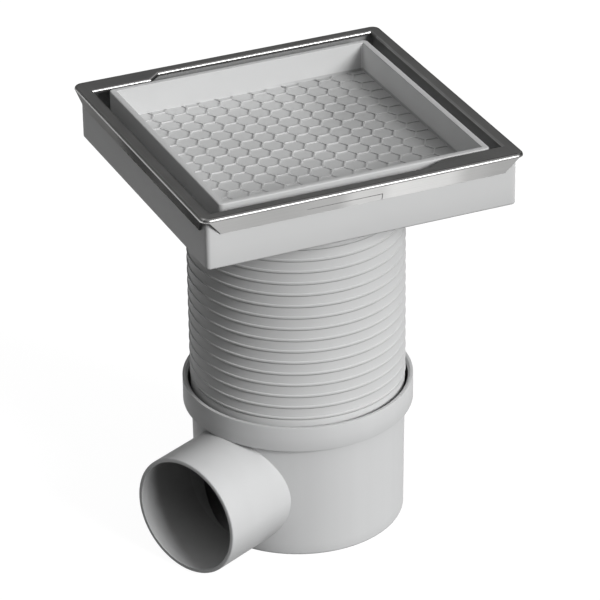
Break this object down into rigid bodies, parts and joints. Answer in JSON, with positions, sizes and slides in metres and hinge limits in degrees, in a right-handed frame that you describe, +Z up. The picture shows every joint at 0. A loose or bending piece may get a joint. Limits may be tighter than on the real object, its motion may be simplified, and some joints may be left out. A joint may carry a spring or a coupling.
{
  "type": "floor drain",
  "caption": "Shower floor drain with a square tile-insert tray in a steel-edged frame, a ribbed telescopic neck, a float-bell water trap and a side outlet.",
  "frame": {"origin": "centre of the flat underside of the drain body's pot", "axes": "+Z up along the neck, +X and +Y along the sides of the square frame; the outlet leaves at 206 degrees from +X"},
  "size_m": [0.1574, 0.15, 0.1949],
  "materials": {
    "body_plastic": "satin",
    "riser_plastic": "satin",
    "tray_plastic": "satin",
    "trap_plastic": "satin",
    "trim_steel": "brushed",
    "seal_rubber": "matt"
  },
  "bodies": {
    "drain": {"drain_body": "body_plastic"},
    "seal": {"neck_seal": "seal_rubber"},
    "riser": {"riser_frame": "riser_plastic", "steel_trim": "trim_steel", "tile_tray": "tray_plastic", "trap_gasket": "seal_rubber", "trap_cup": "trap_plastic", "lift_bar": "trap_plastic"},
    "bell": {"float_bell": "trap_plastic", "bell_gasket": "seal_rubber"}
  },
  "joints": [
    {"name": "neck_turn", "type": "hinge", "parent": "drain", "child": "seal", "pos_m": [0, 0, 0.0645], "axis": [0, 0, 1], "continuous": true},
    {"name": "neck_lift", "type": "slide", "parent": "seal", "child": "riser", "axis": [0, 0, 1], "range_m": [0, 0.005]},
    {"name": "bell_float", "type": "slide", "parent": "riser", "child": "bell", "axis": [0, 0, 1], "range_m": [0, 0.01]}
  ]
}
